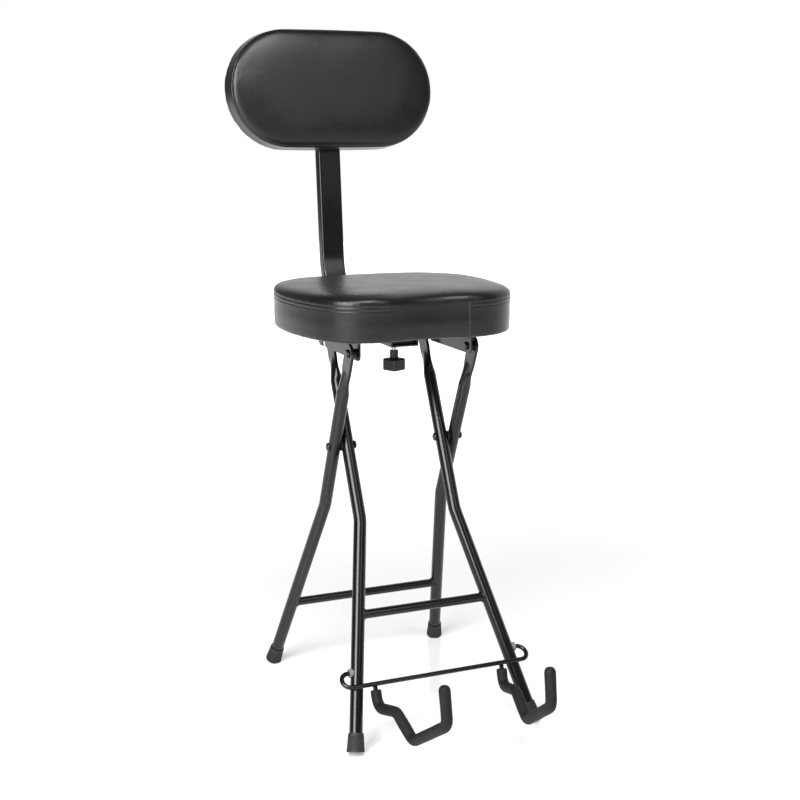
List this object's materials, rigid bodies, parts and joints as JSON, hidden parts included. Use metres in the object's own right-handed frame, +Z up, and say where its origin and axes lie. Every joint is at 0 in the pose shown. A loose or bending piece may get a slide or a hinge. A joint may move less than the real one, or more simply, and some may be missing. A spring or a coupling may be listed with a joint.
{
  "type": "folding_guitar_stool",
  "caption": "Folding musician's stool with crossed splayed tube legs, padded tip-up seat, plug-in padded backrest and a flip-up guitar hanger with foam-sleeved hooks",
  "frame": {"origin": "On the floor, under the middle of the open stool's bounding box", "axes": "+Z up, -Y the way the sitter faces, towards the guitar hooks, and +X the sitter's left, which is the right side of the picture"},
  "size_m": [0.364, 0.7174, 1.0703],
  "materials": {
    "powder_coat": "gloss black powder coat",
    "zinc_steel": "bright zinc plate",
    "foot_rubber": "black moulded rubber, fluted",
    "foam": "matte black closed-cell foam",
    "leatherette": "satin black leatherette over foam",
    "plywood": "plain plywood",
    "black_plastic": "black moulded plastic",
    "grey_nylon": "grey nylon"
  },
  "bodies": {
    "rear_leg_frame": {"rear_leg_left": "powder_coat", "rear_leg_right": "powder_coat", "rear_foot_left": "foot_rubber", "rear_foot_right": "foot_rubber", "rear_rung": "powder_coat", "leg_pivot_rivets": "powder_coat", "leg_pivot_washers": "black_plastic", "seat_pivot_pins": "powder_coat", "seat_pivot_spacers": "black_plastic"},
    "front_leg_frame": {"front_leg_left": "powder_coat", "front_leg_right": "powder_coat", "front_foot_left": "foot_rubber", "front_foot_right": "foot_rubber", "front_rung": "powder_coat", "catch_pins": "powder_coat", "hanger_bush_left": "grey_nylon", "hanger_bush_right": "grey_nylon"},
    "seat": {"seat_board": "plywood", "seat_cushion": "leatherette", "seat_bracket_left": "powder_coat", "seat_bracket_right": "powder_coat", "bracket_screws": "zinc_steel", "post_socket": "powder_coat", "socket_screws": "zinc_steel", "clamp_nut": "zinc_steel"},
    "backrest": {"backrest_post": "powder_coat", "post_front_plug": "black_plastic", "post_top_plug": "black_plastic", "backrest_board": "plywood", "backrest_cushion": "leatherette", "backrest_bolts": "zinc_steel", "backrest_inserts": "zinc_steel"},
    "clamp_screw": {"clamp_knob": "black_plastic", "clamp_stud": "zinc_steel"},
    "hanger": {"hanger_rod": "powder_coat", "hook_wire_left": "powder_coat", "hook_wire_right": "powder_coat", "hook_sleeve_left": "foam", "hook_sleeve_right": "foam"}
  },
  "joints": [
    {"name": "leg_fold", "type": "hinge", "parent": "rear_leg_frame", "child": "front_leg_frame", "pos_m": [0, 0.02795, 0.4192], "axis": [1, 0, 0], "range_deg": [0, 45]},
    {"name": "seat_fold", "type": "hinge", "parent": "rear_leg_frame", "child": "seat", "pos_m": [0, -0.04174, 0.5769], "axis": [1, 0, 0], "range_deg": [0, 110]},
    {"name": "backrest_slide", "type": "slide", "parent": "seat", "child": "backrest", "axis": [0, 1, 0], "range_m": [0, 0.16]},
    {"name": "knob_turn", "type": "hinge", "parent": "seat", "child": "clamp_screw", "pos_m": [0, 0.03164, 0.549], "axis": [0, 0, 1], "continuous": true},
    {"name": "hanger_flip", "type": "hinge", "parent": "front_leg_frame", "child": "hanger", "pos_m": [0, -0.12615, 0.107], "axis": [-1, 0, 0], "range_deg": [0, 92]}
  ],
  "couplings": [
    {"joint": "seat_fold", "follows": "leg_fold", "ratio": 2.4444}
  ]
}
